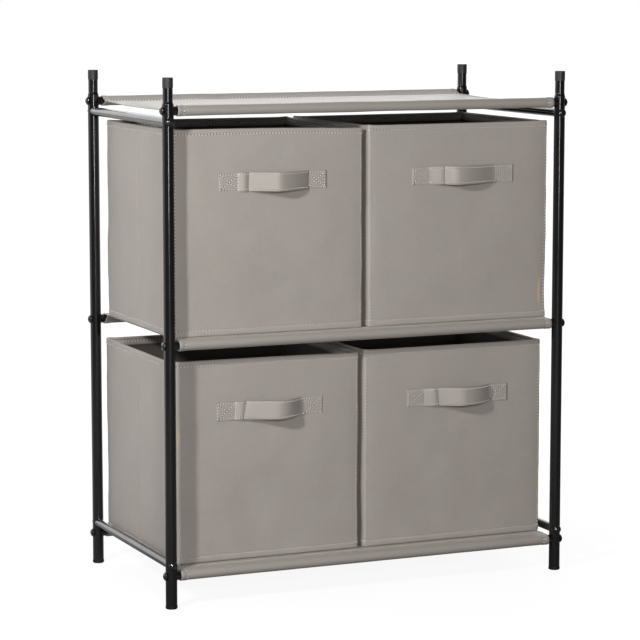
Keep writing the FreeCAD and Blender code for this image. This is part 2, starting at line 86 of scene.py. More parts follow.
softbox("key_lamp", place=(-1.56, -1.1, 1.18), target=(0.0, -0.14, 0.38),
        width=0.14, height=0.14, watts=27.5)
softbox("left_diffuser", place=(-1.65, -0.25, 0.35), target=(-0.1, 0.0, 0.3),
        width=0.9, height=0.95, watts=2.4, in_gloss=False)
softbox("front_softbox", place=(-0.85, -3.4, 1.3), target=(-0.1, 0.0, 0.3),
        width=0.3, height=0.34, watts=43.0)
softbox("low_strip", place=(-1.2, -4.0, 0.6), target=(-0.1, 0.0, 0.4),
        width=0.35, height=0.85, watts=22.0)
softbox("rear_softbox", place=(1.0, 1.7, 1.5), target=(0.0, 0.0, 0.5),
        width=1.2, height=1.2, watts=21.0, in_gloss=False)


class Signal:
    """One output socket.  Arithmetic on it adds Math nodes to its own tree."""

    def __init__(self, graph, socket):
        self.graph = graph
        self.socket = socket

    def output(self, name):
        return Signal(self.graph, self.socket.node.outputs[name])

    def math(self, operation, first, second=0.0):
        return self.graph.add("ShaderNodeMath", {"operation": operation}, {0: first, 1: second})

    def __add__(self, other):
        return self.math("ADD", self, other)

    def __sub__(self, other):
        return self.math("SUBTRACT", self, other)

    def __rsub__(self, other):
        return self.math("SUBTRACT", other, self)

    def __mul__(self, other):
        return self.math("MULTIPLY", self, other)

    __radd__ = __add__
    __rmul__ = __mul__


class Graph:
    """A tree of nodes that is built in order."""

    def __init__(self, tree):
        self.tree = tree

    def add(self, kind, settings, sockets):
        made = self.tree.nodes.new(kind)
        for name, value in settings.items():
            setattr(made, name, value)
        self.feed(made, sockets)
        return Signal(self, next(socket for socket in made.outputs if socket.enabled))

    def feed(self, node, sockets):
        for name, value in sockets.items():
            if isinstance(value, Signal):
                self.tree.links.new(value.socket, node.inputs[name])
            else:
                node.inputs[name].default_value = value

    def blotches(self, scale, detail=2.0):
        """Soft random spots from 0 to 1, scale of them to the metre."""
        place = self.add("ShaderNodeTexCoord", {}, {}).output("Object")
        return self.add("ShaderNodeTexNoise", {}, {"Vector": place, "Scale": scale,
                                                   "Detail": detail})

    def blend(self, factor, first, second):
        """Colour between two colours."""
        return self.add("ShaderNodeMix", {"data_type": "RGBA"}, {0: factor, 6: first, 7: second})

    def ramp(self, value, start, finish, low, high):
        """Number that goes from low to high as value goes from start to finish."""
        return self.add("ShaderNodeMapRange", {"interpolation_type": "SMOOTHSTEP"}, {
            "Value": value, "From Min": start, "From Max": finish, "To Min": low,
            "To Max": high})


class Finish(Graph):
    """A material.  Constants go straight on the sockets of its surface shader."""

    def __init__(self, name, constants):
        self.material = bpy.data.materials.new(name)
        self.material.use_nodes = True
        super().__init__(self.material.node_tree)
        self.surface = self.tree.nodes["Principled BSDF"]
        self.feed(self.surface, constants)

    def coat(self, sockets, height=None, depth=0.0001, strength=1.0):
        """Sets what varies over the surface, and a relief of so many metres."""
        self.feed(self.surface, sockets)
        if height is not None:
            relief = self.add("ShaderNodeBump", {}, {"Height": height, "Distance": depth,
                                                     "Strength": strength})
            self.feed(self.surface, {"Normal": relief})


WHITE = (1.0, 1.0, 1.0, 1.0)
# The floor as the lamps see it, which sets how much light it throws back up, and as it is seen.
FLOOR_TONES = ((0.16, 0.16, 0.16, 1.0), (0.8, 0.8, 0.8, 1.0))
world = bpy.data.worlds.new("studio")
world.use_nodes = True
bpy.context.scene.world = world
sky = Graph(world.node_tree)
rays = sky.add("ShaderNodeLightPath", {}, {})
direction = sky.add("ShaderNodeTexCoord", {}, {}).output("Generated")
behind = sky.add("ShaderNodeSeparateXYZ", {}, {"Vector": direction}).output("Y")
backdrop = sky.ramp(behind, -0.1, 0.95, MIRRORED_ROOM, MIRRORED_BACKDROP)
glossy = rays.output("Is Glossy Ray")
unseen = 1.0 - rays.output("Is Camera Ray")
room = sky.ramp(behind, -0.2, 0.6, ROOM_LIGHT, BACKDROP_LIGHT)
seen_in_gloss = glossy * backdrop + (1.0 - glossy) * room
sky.feed(world.node_tree.nodes["Background"], {
    "Color": WHITE, "Strength": rays.output("Is Camera Ray") + unseen * seen_in_gloss})

floor_finish = Finish("pale_floor", {"Roughness": 0.9})
rays = floor_finish.add("ShaderNodeLightPath", {}, {})
seen = rays.output("Is Camera Ray")
floor_finish.coat({"Base Color": floor_finish.blend(seen, *FLOOR_TONES)})
place = floor_finish.add("ShaderNodeTexCoord", {}, {}).output("Object")
depth = floor_finish.add("ShaderNodeSeparateXYZ", {}, {"Vector": place}).output("Y")
away = floor_finish.add("ShaderNodeVectorMath", {"operation": "LENGTH"}, {0: place})
mirrored = rays.output("Is Glossy Ray") * floor_finish.ramp(depth, -0.2, 0.8, 0.0, 0.8)
share = rays.math("MAXIMUM", seen, mirrored) * (1.0 - SHADOW_SHARE)
glow = floor_finish.add("ShaderNodeEmission", {}, {
    "Color": WHITE, "Strength": floor_finish.ramp(away, 0.3, 1.3, 1.07, 1.2)})
lit = Signal(floor_finish, floor_finish.surface.outputs[0])
floor_finish.feed(floor_finish.tree.nodes["Material Output"], {
    "Surface": floor_finish.add("ShaderNodeMixShader", {}, {0: share, 1: lit, 2: glow})})
floor_mesh = bpy.data.meshes.new("floor")
floor_mesh.from_pydata([(x, y, FLOOR_LEVEL) for x, y in (
    (-FLOOR_REACH, -FLOOR_REACH), (FLOOR_REACH, -FLOOR_REACH),
    (FLOOR_REACH, FLOOR_REACH), (-FLOOR_REACH, FLOOR_REACH))], [], [(0, 1, 2, 3)])
floor_mesh.materials.append(floor_finish.material)
floor = bpy.data.objects.new("floor", floor_mesh)
bpy.context.scene.collection.objects.link(floor)

# Uprights, cross rods and side rails.  Mild steel tube with a thin coat of black gloss enamel,
# a little wavy from the spray and filmed with dust.  The uprights' top ends are swaged to a neck.
ENDS = ("front", "rear")
SIDES = ("left", "right")
ENAMEL_BLACKS = ((0.003, 0.0025, 0.003, 1.0), (0.009, 0.008, 0.0085, 1.0))
enamel = Finish("black_enamel", {"Coat Roughness": 0.05})
dust = enamel.blotches(26.0, 4.0)
enamel.coat({
    "Base Color": enamel.blend(dust, *ENAMEL_BLACKS),
    "Roughness": dust * 0.1 + 0.1,
    "Coat Weight": 0.4 - dust * 0.3,
}, enamel.blotches(170.0), 0.00008, 0.3)


def refinish(node, finish):
    """Gives a CAD node a finished material in place of its plain one."""
    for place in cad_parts[node].material_slots:
        place.material = finish.material


for end in ENDS:
    for side in SIDES:
        refinish("upright_%s_%s" % (end, side), enamel)
    for name in ("top", "middle", "bottom"):
        refinish("%s_rod_%s" % (name, end), enamel)
for side in SIDES:
    refinish("top_side_rail_" + side, enamel)
    refinish("bottom_side_rail_" + side, enamel)

# Caps and foot plugs.  Moulded in dark plastic with a fine eroded grain: the caps are warm grey
# and nearly matt, the plugs blacker and shinier where they rub the floor.  Both are pressed in.
CAP_GREYS = ((0.018, 0.0166, 0.017, 1.0), (0.032, 0.0294, 0.03, 1.0))
PLUG_BLACKS = ((0.006, 0.0055, 0.0055, 1.0), (0.012, 0.011, 0.011, 1.0))
cap_plastic = Finish("cap_plastic", {"Specular IOR Level": 0.3, "Coat Weight": 0.15,
                                     "Coat Roughness": 0.1})
cap_wear = cap_plastic.blotches(90.0, 3.0)
cap_plastic.coat({
    "Base Color": cap_plastic.blend(cap_wear, *CAP_GREYS),
    "Roughness": cap_wear * 0.2 + 0.38,
}, cap_plastic.blotches(2600.0), 0.00005, 0.5)
plug_plastic = Finish("plug_plastic", {"Specular IOR Level": 0.25})
plug_wear = plug_plastic.blotches(120.0, 3.0)
plug_plastic.coat({
    "Base Color": plug_plastic.blend(plug_wear, *PLUG_BLACKS),
    "Roughness": plug_wear * 0.25 + 0.35,
}, plug_plastic.blotches(2200.0), 0.00005, 0.4)
for end in ENDS:
    for side in SIDES:
        refinish("upright_cap_%s_%s" % (end, side), cap_plastic)
        refinish("foot_plug_%s_%s" % (end, side), plug_plastic)

# Corner joints.  Black oxide button-head screws, glossy moulded saddle washers, and zinc-plated
# threaded inserts that are out of sight in the ends of the rods and rails.
WASHER_BLACKS = ((0.004, 0.004, 0.004, 1.0), (0.01, 0.009, 0.009, 1.0))
OXIDE_BLACKS = ((0.02, 0.02, 0.022, 1.0), (0.07, 0.068, 0.07, 1.0))
ZINC_GREYS = ((0.45, 0.45, 0.44, 1.0), (0.62, 0.62, 0.6, 1.0))
washer_plastic = Finish("washer_plastic", {"Coat Weight": 0.5, "Coat Roughness": 0.08})
washer_marks = washer_plastic.blotches(300.0, 3.0)
washer_plastic.coat({
    "Base Color": washer_plastic.blend(washer_marks, *WASHER_BLACKS),
    "Roughness": washer_marks * 0.15 + 0.16,
}, washer_plastic.blotches(1600.0), 0.00004, 0.4)
screw_oxide = Finish("screw_oxide", {"Metallic": 0.85, "Coat Weight": 0.6,
                                     "Coat Roughness": 0.08})
oxide_marks = screw_oxide.blotches(700.0, 3.0)
screw_oxide.coat({
    "Base Color": screw_oxide.blend(oxide_marks, *OXIDE_BLACKS),
    "Roughness": oxide_marks * 0.2 + 0.16,
}, oxide_marks, 0.00005, 0.4)
zinc = Finish("zinc_plate", {"Metallic": 1.0})
zinc_spangle = zinc.blotches(900.0)
zinc.coat({
    "Base Color": zinc.blend(zinc_spangle, *ZINC_GREYS),
    "Roughness": zinc_spangle * 0.15 + 0.3,
})
refinish("saddle_washers", washer_plastic)
refinish("socket_screws", screw_oxide)
refinish("threaded_inserts", zinc)

# Cloth shelves.  Each is one cut of pressed non-woven cloth, hemmed along both side edges.  Its
# two ends wrap the rods and are sewn back on the underside.  The top one is seamed level with the
# rods' axes and hangs free between them; the other two lie level with the tops of the rods.
MM = 0.001
SHELF_GREIGE = (0.3, 0.274, 0.25)
CLOTH_GREIGE = (0.332, 0.3, 0.274)
THREAD_GREY = (0.73, 0.69, 0.66)
CLOTH_THICK = 1.0 * MM
ROD_RADIUS = 6.35 * MM
SLEEVE_EASE = 0.1 * MM
SEAM_REACH = 16.0 * MM
FLAP_LENGTH = 5.0 * MM
FLAP_DROP = 1.05 * CLOTH_THICK
SLEEVE_STEPS = 30
SHELF_ROWS = 44
SHELF_COLUMNS = 70
SIDE_HEM = 8.5 * MM
HEM_RISE = 0.4 * MM
SEAM_BITE = 0.3 * MM
PUCKER_REACH = 1.2 * MM
EASE_SPREAD = 55 * MM
STITCH_PITCH = 4.7 * MM
STITCH_LENGTH = 2.5 * MM
THREAD_WIDTH = 1.5 * MM
# Size of the near-black specks of painted shade between the stitches, as a share of the thread's
# width.
HOLE_SHADE_SHARE = 0.9
# Name, height of the seam over the rods' axes, sag in the middle, and looseness of the cloth.
SHELVES = (("top", 0.0, 2.5 * MM, 0.5 * MM), ("middle", 6.95 * MM, 0.0, 0.15 * MM),
           ("bottom", 6.95 * MM, 0.0, 0.15 * MM))


def shade(color, share):
    """The same colour, lighter or darker, with its alpha."""
    return tuple(channel * share for channel in color) + (1.0,)


def cloth_finish(name, color, pitch, mottling):
    """Non-woven cloth: fibres matted in uneven clouds and pressed together at a fine grid of
    points."""
    finish = Finish(name, {"Sheen Weight": 0.25, "Sheen Roughness": 0.4,
                           "Sheen Tint": shade((1.0, 0.98, 0.95), 1.0)})
    cut = finish.add("ShaderNodeSeparateXYZ", {}, {
        "Vector": finish.add("ShaderNodeUVMap", {"uv_map": "cut"}, {})})
    turns = 2 * math.pi / pitch
    columns = cut.math("COSINE", cut * turns)
    rows = cut.math("COSINE", cut.output("Y") * turns)
    points = cut.math("MAXIMUM", columns * rows, 0.0)
    fibres = finish.blotches(1500.0, 3.0)
    stain = finish.blotches(14.0, 4.0)
    clouds = finish.blotches(150.0, 3.0)
    handling = finish.ramp(finish.blotches(26.0, 2.0), 0.35, 0.65, 0.0, 1.0)
    warm, cool = ([channel * tint for channel, tint in zip(color, tints)]
                  for tints in ((1.02, 0.985, 0.985), (0.985, 1.01, 1.0)))
    hue = finish.blend(handling, shade(warm, 1.0 - mottling), shade(cool, 1.0 - mottling))
    finish.coat({
        "Base Color": finish.blend(stain * 0.5 + clouds * 0.35 + fibres * 0.15, hue,
                                   shade(color, 1.0 + mottling)),
        "Roughness": fibres * 0.14 + 0.45,
    }, fibres * 0.7 - points, 0.00009, 0.5)
    return finish


def cloth_skin(name, rows, around=False, floors=()):
    """Grid of cloth through rows of points, with lengths along the cut as its UV map.  Around
    joins the two sides, and floors lists the rows that a flat end closes."""
    count = len(rows[0])
    wide = count if around else count - 1
    middle = rows[len(rows) // 2]
    run, climb = [0.0], [0.0]
    for number in range(wide):
        run.append(run[-1] + (middle[(number + 1) % count] - middle[number]).length)
    for lower, upper in zip(rows, rows[1:]):
        climb.append(climb[-1] + (upper[count // 2] - lower[count // 2]).length)
    faces, marks = [], []
    for i in range(len(rows) - 1):
        for j in range(wide):
            after = (j + 1) % count
            faces.append((i * count + j, i * count + after,
                          (i + 1) * count + after, (i + 1) * count + j))
            marks += [(run[j], climb[i]), (run[j + 1], climb[i]),
                      (run[j + 1], climb[i + 1]), (run[j], climb[i + 1])]
    for row, order in floors:
        ring = [row * count + j for j in range(count)][::order]
        faces.append(ring)
        marks += [(rows[row][number - row * count].x, rows[row][number - row * count].y)
                  for number in ring]
    mesh = bpy.data.meshes.new(name)
    mesh.from_pydata([point for row in rows for point in row], [], faces)
    cut = mesh.uv_layers.new(name="cut")
    for loop, mark in zip(cut.data, marks):
        loop.uv = mark
    mesh.shade_smooth()
    piece = bpy.data.objects.new(name, mesh)
    bpy.context.scene.collection.objects.link(piece)
    return piece


def thicken(piece, thickness, offset):
    wall = piece.modifiers.new("thickness", "SOLIDIFY")
    wall.thickness = thickness
    wall.offset = offset


def apply_modifiers(piece):
    """The evaluated shape becomes the piece's own mesh."""
    graph = bpy.context.evaluated_depsgraph_get()
    mesh = bpy.data.meshes.new_from_object(piece.evaluated_get(graph))
    piece.modifiers.clear()
    piece.data = mesh


def sleeve_path(seam_height):
    """Cloth round one rod, from its flap under the seam, round the outer side and back to the
    seam, as (distance inwards from the rod's axis, height above it) pairs."""
    radius = ROD_RADIUS + SLEEVE_EASE + CLOTH_THICK / 2
    flap = seam_height - FLAP_DROP

    def touch(height, way):
        reach = math.hypot(SEAM_REACH, height)
        return math.atan2(height, SEAM_REACH) + way * math.acos(radius / reach)

    first, last = touch(flap, -1), touch(seam_height, 1) - 2 * math.pi
    end = SEAM_REACH + FLAP_LENGTH
    path = [(end, flap), ((end + SEAM_REACH) / 2, flap), (SEAM_REACH, flap)]
    for step in range(SLEEVE_STEPS + 1):
        angle = first + (last - first) * step / SLEEVE_STEPS
        path.append((radius * math.cos(angle), radius * math.sin(angle)))
    path.append((SEAM_REACH, seam_height))
    return path


def shelf_section(front, rear, level, seam_height, sag):
    """Whole section of a shelf as (y, z) pairs, with the numbers of its two seam points."""
    sleeve = sleeve_path(seam_height)
    section = [(front + inwards, level + height) for inwards, height in sleeve]
    seams = [len(section) - 1]
    start, finish = front + SEAM_REACH, rear - SEAM_REACH
    for step in range(1, SHELF_ROWS):
        share = step / SHELF_ROWS
        hang = sag * (1 - (2 * share - 1) ** 2)
        section.append((start + (finish - start) * share, level + seam_height - hang))
    seams.append(len(section))
    section += [(rear - inwards, level + height) for inwards, height in reversed(sleeve)]
    return section, seams


def stitch_tree():
    """Stitches along every line of a mesh of edges: short beads of thread, end to end, and between
    them near-black specks of painted shade where the thread goes into the cloth.
    """
    tree = bpy.data.node_groups.new("stitches_along_a_seam", "GeometryNodeTree")
    sockets = (("Seams", "INPUT", "Geometry", None),
               ("Stitch pitch", "INPUT", "Float", STITCH_PITCH),
               ("Stitch length", "INPUT", "Float", STITCH_LENGTH),
               ("Thread width", "INPUT", "Float", THREAD_WIDTH),
               ("Seed", "INPUT", "Int", 7),
               ("Thread", "INPUT", "Material", None),
               ("Painted hole shade", "INPUT", "Material", None),
               ("Stitches", "OUTPUT", "Geometry", None))
    for name, way, kind, value in sockets:
        made = tree.interface.new_socket(name, in_out=way, socket_type="NodeSocket" + kind)
        if value is not None:
            made.default_value = value
    graph = Graph(tree)
    given = graph.add("NodeGroupInput", {}, {})
    line = graph.add("GeometryNodeMeshToCurve", {}, {"Mesh": given.output("Seams")})
    spaced = graph.add("GeometryNodeResampleCurve", {"mode": "LENGTH"},
                       {"Curve": line, "Length": given.output("Stitch pitch")})
    bead = graph.add("GeometryNodeMeshUVSphere", {}, {"Segments": 6, "Rings": 4, "Radius": 0.5})
    tangent = graph.add("GeometryNodeInputTangent", {}, {})
    along = graph.add("FunctionNodeAlignRotationToVector", {"axis": "X"}, {"Vector": tangent})
    uneven = graph.add("FunctionNodeRandomValue", {"data_type": "FLOAT"},
                       {2: 0.85, 3: 1.1, "Seed": given.output("Seed")})
    thread = given.output("Thread width")
    size = graph.add("ShaderNodeCombineXYZ", {}, {
        "X": given.output("Stitch length") * uneven, "Y": thread, "Z": thread})
    sewn = graph.add("GeometryNodeInstanceOnPoints", {}, {
        "Points": spaced, "Instance": bead, "Rotation": along, "Scale": size})
    # Half a pitch on from each bead sits a near-black speck of painted shade, where the thread dips
    # into its needle hole.
    half_way = graph.add("ShaderNodeVectorMath", {"operation": "SCALE"}, {
        0: tangent, "Scale": given.output("Stitch pitch") * 0.5})
    between = graph.add("GeometryNodeSetPosition", {}, {"Geometry": spaced, "Offset": half_way})
    shade_speck = graph.add("GeometryNodeStoreNamedAttribute", {"data_type": "BOOLEAN"}, {
        "Geometry": graph.add("GeometryNodeMeshIcoSphere", {}, {"Radius": 0.5}),
        "Name": "hole_shade_specks", "Value": True})
    hole_shade_specks = graph.add("GeometryNodeInstanceOnPoints", {}, {
        "Points": between, "Instance": shade_speck, "Scale": graph.add(
            "ShaderNodeCombineXYZ", {}, {axis: thread * HOLE_SHADE_SHARE for axis in "XYZ"})})
    both = graph.add("GeometryNodeJoinGeometry", {}, {})
    for part in (sewn, hole_shade_specks):
        tree.links.new(part.socket, both.socket.node.inputs[0])
    soft = graph.add("GeometryNodeSetShadeSmooth", {}, {
        "Geometry": graph.add("GeometryNodeRealizeInstances", {}, {"Geometry": both})})
    dyed = graph.add("GeometryNodeSetMaterial", {}, {"Geometry": soft,
                                                     "Material": given.output("Thread")})
    # The specks take the near-black finish of painted shade.
    hole_shade = graph.add("GeometryNodeInputNamedAttribute", {"data_type": "BOOLEAN"},
                     {"Name": "hole_shade_specks"})
    dyed = graph.add("GeometryNodeSetMaterial", {}, {
        "Geometry": dyed, "Selection": hole_shade, "Material": given.output("Painted hole shade")})
    tree.links.new(dyed.socket, tree.nodes.new("NodeGroupOutput").inputs[0])
    return tree


shelf_cloth = cloth_finish("shelf_cloth", SHELF_GREIGE, 1.4 * MM, 0.07)
thread_finish = Finish("sewing_thread", {"Sheen Weight": 0.2})
thread_twist = thread_finish.blotches(2400.0)
thread_finish.coat({
    "Base Color": thread_finish.blend(thread_twist, shade(THREAD_GREY, 0.88),
                                      shade(THREAD_GREY, 1.12)),
    "Roughness": thread_twist * 0.2 + 0.5,
})
# Near-black finish for the specks between stitches: painted shade of the needle holes, not a colour
# of the cloth.
painted_hole_shade = Finish("painted_hole_shade", {"Specular IOR Level": 0.1})
painted_hole_shade.coat({
    "Base Color": painted_hole_shade.blend(painted_hole_shade.blotches(1800.0), shade(CLOTH_GREIGE, 0.05),
                                    shade(CLOTH_GREIGE, 0.15)),
    "Roughness": 0.9,
})
STITCHES = stitch_tree()


def sew(name, seams, pitch=STITCH_PITCH, length=STITCH_LENGTH, width=THREAD_WIDTH):
    """Plain mesh of the stitches along seams, each a list of points."""
    points, edges = [], []
    for seam in seams:
        first = len(points)
        points += seam
        edges += [(number, number + 1) for number in range(first, len(points) - 1)]
    mesh = bpy.data.meshes.new(name)
    mesh.from_pydata(points, edges, [])
    piece = bpy.data.objects.new(name, mesh)
    bpy.context.scene.collection.objects.link(piece)
    sewing = piece.modifiers.new("stitches", "NODES")
    sewing.node_group = STITCHES
    given = {"Stitch pitch": pitch, "Stitch length": length, "Thread width": width,
             "Thread": thread_finish.material, "Painted hole shade": painted_hole_shade.material}
    for item in STITCHES.interface.items_tree:
        if item.name in given:
            sewing[item.identifier] = given[item.name]
    apply_modifiers(piece)
    return piece


def seam_line(piece, numbers, lift):
    """Points of a seam along vertices of a cloth, lifted off it along its normals."""
    corners = piece.data.vertices
    return [corners[number].co + corners[number].normal * lift for number in numbers]


for name, seam_height, sag, slack in SHELVES:
    node = name + "_shelf_cloth"
    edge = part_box(node)[1].x
    inner = edge - SIDE_HEM
    axes = [sum(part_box("%s_rod_%s" % (name, end)), Vector()) / 2 for end in ENDS]
    section, seams = shelf_section(axes[0].y, axes[1].y, axes[0].z, seam_height, sag)
    hem = [edge, edge - 2 * MM, inner + 2 * MM, inner + 0.8 * MM, inner, inner - 0.8 * MM]
    reach = inner - 6 * MM
    even = [reach * (2 * n / SHELF_COLUMNS - 1) for n in range(SHELF_COLUMNS + 1)]
    steps = [-x for x in hem] + even + hem[::-1]
    columns = len(steps)
    piece = cloth_skin(name + "_shelf_sheet",
                       [[Vector((x, y, z)) for x in steps] for y, z in section])
    corners = piece.data.vertices
    moves = []
    for corner in corners:
        ease = noise.noise(corner.co / EASE_SPREAD + Vector((0.0, 0.0, len(name)))) - 0.5
        rise = ease * slack
        off_seam = (abs(corner.co.x) - inner) / PUCKER_REACH
        if abs(off_seam) < 1.0:
            rise -= SEAM_BITE * (1 - abs(off_seam))
        elif off_seam > 0:
            rise += HEM_RISE
        if corner.normal.z > 0.9 and not sag:
            rise = min(rise, 0.0)
        moves.append(corner.normal * rise)
    for corner, move in zip(corners, moves):
        corner.co += move
    piece.data.update()
    lift = CLOTH_THICK / 2 + 0.1 * MM
    lines = [seam_line(piece, [row * columns + j for j in range(1, columns - 1)], lift)
             for row in seams]
    for j in (4, columns - 5):
        lines.append(seam_line(piece, [i * columns + j for i in range(3, len(section) - 3)], lift))
    stitches = sew(name + "_shelf_stitches", lines)
    thicken(piece, CLOTH_THICK, 0.0)
    piece.data.materials.append(shelf_cloth.material)
    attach(piece, "frame")
    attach(stitches, "frame")
    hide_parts(node)
    length = sum((Vector(b) - Vector(a)).length for a, b in zip(section, section[1:]))
    ["%s_rod_%s" % (name, end) for end in ENDS]

# Bin covers.  Four walls and a bottom of the same cloth, sewn together at the corners with a
# pinched seam.  The cloth turns in over the rim; one row of stitches shuts the boards in below it,
# another runs just above the bottom, and a sewn crease runs down each side, where the bin folds
# flat.
WALL = 4.6 * MM
COVER_THICK = 1.2 * MM
CORNER = 7.0 * MM
CORNER_STEPS = 8
STITCH_DROP = 7.0 * MM
STITCH_CLIMB = 8.5 * MM
STITCH_BITE = 0.4 * MM
STITCH_PULL = 0.9 * MM
STITCH_LIFT = 0.15 * MM
RIM_RETURN = 2.0 * MM
RIM_STEPS = 8
SIDE_STEPS = 30
WALL_ROWS = 42
CROWD = (-4, -2, -1, 0, 1, 2, 4)
CREASE_STEP = 0.8 * MM
STITCH_STEP = 0.6 * MM
# How far the side walls and the front and rear walls stand out in the middle, and the hems.
SIDE_BELLY = 1.2 * MM
FRONT_BELLY = 0.9 * MM
HEM_SWELL = 0.35 * MM
HEM_EDGE = 0.8 * MM
# The crease down the middle of each side, and the pull of the seams at the corners.
FOLD_DEPTH = 1.5 * MM
FOLD_WIDTH = 1.1 * MM
CORNER_PULL = 0.9 * MM
CORNER_REACH = 9 * MM
CORNER_RIDGE = 0.7 * MM
# Height and spread of the broad swells of the cloth, of its rumples and of its small dents.
SWELL, SWELL_SPREAD = 1.7 * MM, 95 * MM
RUMPLE, RUMPLE_SPREAD = 0.55 * MM, 33 * MM
DENT, DENT_SPREAD = 0.2 * MM, 12 * MM
# The corner that each upright seam is on, and the column of the plan's round there.
CORNER_SEAMS = ((1, 6), (2, 2), (3, 6), (4, 2))
# How far each corner of the rim slumps, in millimetres, anticlockwise from the front left one.
SLUMP = {
    "upper_left": (0.5, 5.0, 2.0, 1.0),
    "upper_right": (1.0, 0.5, 1.0, 1.5),
    "lower_left": (1.0, 3.5, 1.5, 1.0),
    "lower_right": (0.5, 1.0, 1.0, 1.0),
}
SEEDS = {"upper_left": 3.1, "upper_right": 11.7, "lower_left": 23.4, "lower_right": 37.9}
cover_cloth = cloth_finish("bin_cover_cloth", CLOTH_GREIGE, 1.4 * MM, 0.14)


def smooth(value, start, finish):
    share = min(max((value - start) / (finish - start), 0.0), 1.0)
    return share * share * (3 - 2 * share)


def dent(distance, width):
    return math.exp(-(distance / width) ** 2)


def rounded_plan(half_x, half_y, corner):
    """Points round a rounded rectangle as (point, outward direction), anticlockwise from the
    end of the front side.  They crowd at the middle of each side, where the crease is."""
    crowd = [n * CREASE_STEP for n in CROWD]
    plan = []
    for turn, (across, length) in enumerate(((half_x, half_y), (half_y, half_x)) * 2):
        angle = math.pi / 2 * turn
        out = Vector((math.cos(angle), math.sin(angle)))
        along = Vector((-out.y, out.x))
        reach = length - corner
        even = [reach * (2 * n / SIDE_STEPS - 1) for n in range(1, SIDE_STEPS)]
        for place in sorted([p for p in even if abs(p) > 5 * MM] + crowd):
            plan.append((out * across + along * place, out))
        centre = out * (across - corner) + along * reach
        for step in range(CORNER_STEPS + 1):
            swing = angle + math.pi / 2 * step / CORNER_STEPS
            outward = Vector((math.cos(swing), math.sin(swing)))
            plan.append((centre + outward * corner, outward))
    return plan


def cover_swell(point, outward, z, half_x, half_y, height, seed):
    """How far the cloth stands out from the flat, from the boards, hems, seams and handling."""
    flat_side = max(abs(outward.x), abs(outward.y)) > 0.999
    side_wall = abs(outward.x) > 0.5
    place, half = (point.y, half_y) if side_wall else (point.x, half_x)
    upright = 1 - (2 * z / height - 1) ** 4
    rise = 0.0
    if flat_side:
        rise -= CORNER_PULL * math.exp((abs(place) - half + CORNER) / CORNER_REACH)
        if side_wall:
            rise += SIDE_BELLY * math.sin(math.pi * min(abs(place) / half, 1.0)) * upright
            inside_hems = smooth(z, 9 * MM, 13 * MM) * smooth(height - z, 8 * MM, 12 * MM)
            rise -= FOLD_DEPTH * dent(place, FOLD_WIDTH) * inside_hems
        else:
            rise += FRONT_BELLY * (1 - (place / half) ** 2) * upright
    else:
        rise -= CORNER_PULL
        diagonal = abs(abs(math.atan2(outward.y, outward.x)) % (math.pi / 2) - math.pi / 4)
        rise += CORNER_RIDGE * dent(diagonal, 0.3)
    spot = Vector((point.x, point.y, z))
    rise += SWELL * noise.noise(spot / SWELL_SPREAD + Vector((seed, 0, 0))) * upright
    rise += RUMPLE * noise.noise(spot / RUMPLE_SPREAD + Vector((0, seed, 0)))
    rise += DENT * noise.noise(spot / DENT_SPREAD + Vector((0, 0, seed)))
    top_seam, bottom_seam = height - STITCH_DROP, STITCH_CLIMB
    top_hem = smooth(z, top_seam - HEM_EDGE, top_seam + HEM_EDGE)
    bottom_hem = 1 - smooth(z, bottom_seam - HEM_EDGE, bottom_seam + HEM_EDGE)
    rise += HEM_SWELL * (top_hem + bottom_hem)
    rise -= STITCH_BITE * dent(z - top_seam, STITCH_PULL)
    rise -= STITCH_BITE * dent(z - bottom_seam, STITCH_PULL)
    return rise


def slump_at(name, point, z, half_x, half_y, height):
    """How low the cloth hangs at a place, from the rim's four corners and its height."""
    across = (point.x / half_x + 1) / 2
    along = (point.y / half_y + 1) / 2
    front_left, front_right, rear_right, rear_left = SLUMP[name]
    near = front_left + (front_right - front_left) * across ** 3
    far = rear_left + (rear_right - rear_left) * across
    tip = dent(half_x - abs(point.x), CORNER_REACH) * dent(half_y - abs(point.y), CORNER_REACH)
    return (near + (far - near) * along - tip) * MM * smooth(z / height, 0.7, 1.0)


def wall_levels(height, rim):
    """Heights of the rows of a wall, close together at the two rows of stitches."""
    low, high = STITCH_CLIMB, height - STITCH_DROP
    close = [n * STITCH_STEP for n in CROWD]
    first, last = low + 5 * MM, high - 5 * MM
    levels = [low + step for step in close] + [high + step for step in close]
    levels += [3.5 * MM, height - rim]
    levels += [first + (last - first) * n / WALL_ROWS for n in range(WALL_ROWS + 1)]
    return sorted(levels)


